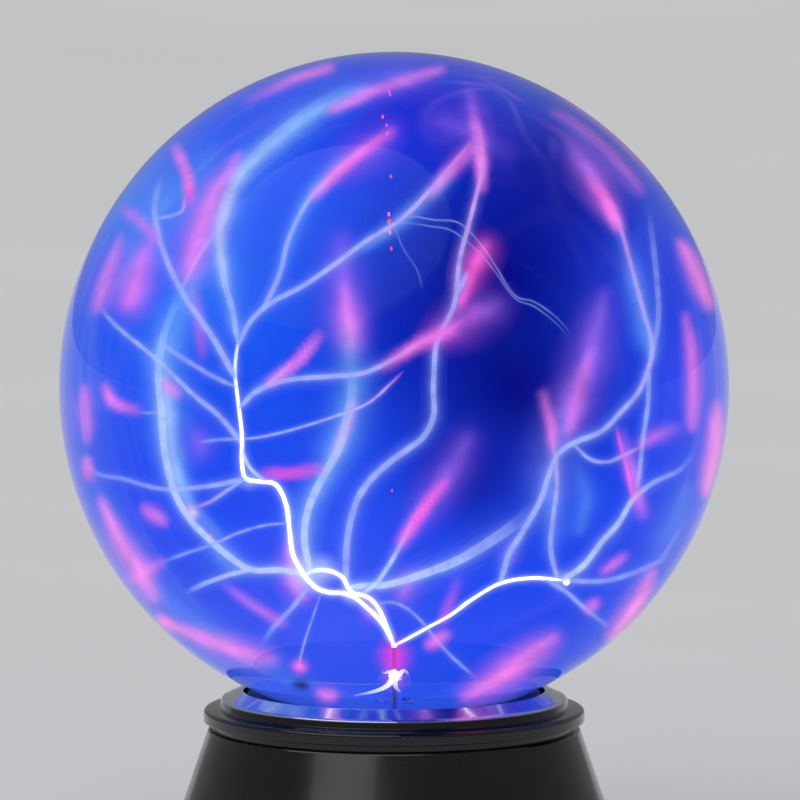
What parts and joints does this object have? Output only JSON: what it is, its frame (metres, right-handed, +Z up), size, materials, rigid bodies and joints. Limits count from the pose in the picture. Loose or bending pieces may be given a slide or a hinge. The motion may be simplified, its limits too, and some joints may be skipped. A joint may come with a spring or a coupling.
{
  "type": "plasma ball",
  "caption": "Plasma ball: a sealed clear glass globe with a central electrode on a tapered black pedestal with rear switch, dial and supply inlet.",
  "frame": {"origin": "on the globe's axis at the height of the rubber feet's soles", "axes": "+Z up along the globe's axis, front towards -Y, controls and supply inlet at the back (+Y)"},
  "size_m": [0.2, 0.2, 0.2564],
  "materials": {
    "globe_glass": "clear blown glass, polished",
    "stem_glass": "clear worked glass",
    "electrode_metal": "drawn wire",
    "tinned_contact": "tinned",
    "lead_red": "silicone insulation",
    "wire_black": "insulation",
    "wire_yellow": "insulation",
    "wire_blue": "insulation",
    "seat_rubber": "moulded, satin",
    "foot_rubber": "moulded, matte",
    "silicone": "translucent silicone",
    "collar_gloss": "high-gloss moulded",
    "shell_gloss": "gloss moulded",
    "panel_black": "fine spark texture",
    "clamp_plastic": "moulded nylon",
    "screw_steel": "zinc plated",
    "screw_black": "black oxide",
    "board_green": "solder mask",
    "ferrite": "sintered, ground faces",
    "bobbin": "moulded phenolic",
    "copper": "enamelled copper wire",
    "sink_aluminium": "extruded, plain",
    "epoxy_black": "moulded epoxy",
    "capacitor_sleeve": "shrink sleeve",
    "film_box": "dipped",
    "resistor_tan": "lacquered",
    "can_metal": "drawn can",
    "connector_white": "moulded nylon",
    "switch_black": "moulded",
    "rocker_black": "moulded",
    "mark_white": "filled paint",
    "nickel": "nickel plated",
    "shaft_metal": "turned",
    "knob_black": "moulded, satin",
    "insulator": "moulded",
    "plasma_stream": "glowing ionised gas",
    "plasma_tip": "glowing ionised gas",
    "gas_glow": "faint glow of the filled gas"
  },
  "bodies": {
    "base": {"globe_glass": "globe_glass", "stem_glass": "stem_glass", "exhaust_tube": "stem_glass", "electrode_pin": "electrode_metal", "electrode_socket": "tinned_contact", "hv_lead": "lead_red", "globe_seat_ring": "seat_rubber", "collar_ring": "collar_gloss", "collar_screws": "screw_steel", "neck_sleeve": "silicone", "neck_clamp_left": "clamp_plastic", "neck_clamp_right": "clamp_plastic", "neck_clamp_screws": "screw_steel", "base_shell": "shell_gloss", "rear_panel": "panel_black", "rear_panel_screws": "screw_steel", "base_plate": "panel_black", "base_screws": "screw_black", "rubber_feet": "foot_rubber", "driver_board": "board_green", "board_screws": "screw_steel", "transformer_core": "ferrite", "transformer_bobbin": "bobbin", "transformer_winding": "copper", "heat_sink": "sink_aluminium", "power_transistor": "epoxy_black", "transistor_screw": "screw_steel", "filter_capacitors": "capacitor_sleeve", "film_capacitor": "film_box", "timer_chip": "epoxy_black", "resistors": "resistor_tan", "microphone": "can_metal", "board_connectors": "connector_white", "power_wires": "wire_black", "pot_wires": "wire_yellow", "switch_wires": "wire_blue", "switch_housing": "switch_black", "switch_terminals": "tinned_contact", "pot_body": "can_metal", "pot_nut": "nickel", "dc_jack_shell": "nickel", "dc_jack_insulator": "insulator", "dc_pin": "tinned_contact", "jack_nut": "nickel"},
    "rocker": {"switch_rocker": "rocker_black", "rocker_marks": "mark_white"},
    "dial": {"intensity_knob": "knob_black", "knob_pointer": "mark_white", "pot_shaft": "shaft_metal"}
  },
  "joints": [
    {"name": "rocker_tilt", "type": "hinge", "parent": "base", "child": "rocker", "pos_m": [0.0133, 0.05658, 0.02428], "axis": [0, -0.3203, 0.9473], "range_deg": [-18, 0]},
    {"name": "dial_turn", "type": "hinge", "parent": "base", "child": "dial", "pos_m": [-0.0052, 0.05753, 0.0246], "axis": [0, 0.9473, 0.3203], "range_deg": [-140, 140]}
  ]
}
